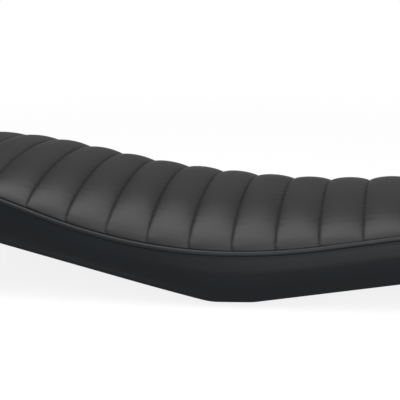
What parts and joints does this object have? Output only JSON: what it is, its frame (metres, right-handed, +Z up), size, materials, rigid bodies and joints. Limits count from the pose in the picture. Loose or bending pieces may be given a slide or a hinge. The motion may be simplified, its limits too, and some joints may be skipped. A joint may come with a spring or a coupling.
{
  "type": "cafe racer seat",
  "caption": "Long low motorcycle seat with a dipped, cross-ribbed and piped black cover over foam, on a moulded pan with studs and rubber buffers below.",
  "frame": {"origin": "on the plane of the buffers' feet, under the middle of the seat's length and width", "axes": "+X to the front, +Y to the rider's left, +Z up; the seat lies as it does on a level motorcycle frame"},
  "size_m": [0.5996, 0.2586, 0.1272],
  "materials": {
    "top_vinyl": "satin black, fine grain",
    "side_vinyl": "satin black, fine grain",
    "piping_vinyl": "satin black",
    "seat_foam": "open-cell foam",
    "pan_plastic": "moulded black",
    "black_steel": "black coated",
    "plated_steel": "bright zinc",
    "spring_steel": "dark zinc",
    "yellow_zinc": "yellow zinc",
    "rivet_aluminium": "plain",
    "staple_wire": "galvanised wire",
    "buffer_rubber": "moulded black"
  },
  "bodies": {
    "root": {"seat_pan": "pan_plastic", "foam_core": "seat_foam", "top_panel": "top_vinyl", "side_panel_left": "side_vinyl", "side_panel_right": "side_vinyl", "piping": "piping_vinyl", "hem_staples": "staple_wire", "cross_plate_front": "black_steel", "cross_plate_rear": "black_steel", "plate_rivets": "rivet_aluminium", "mounting_studs": "plated_steel", "stud_washers": "plated_steel", "stud_spring_washers": "spring_steel", "stud_nuts": "plated_steel", "buffer_front_left": "buffer_rubber", "buffer_front_right": "buffer_rubber", "buffer_rear_left": "buffer_rubber", "buffer_rear_right": "buffer_rubber", "buffer_washers": "plated_steel", "buffer_screws": "plated_steel", "buffer_tee_nuts": "yellow_zinc"}
  },
  "joints": []
}
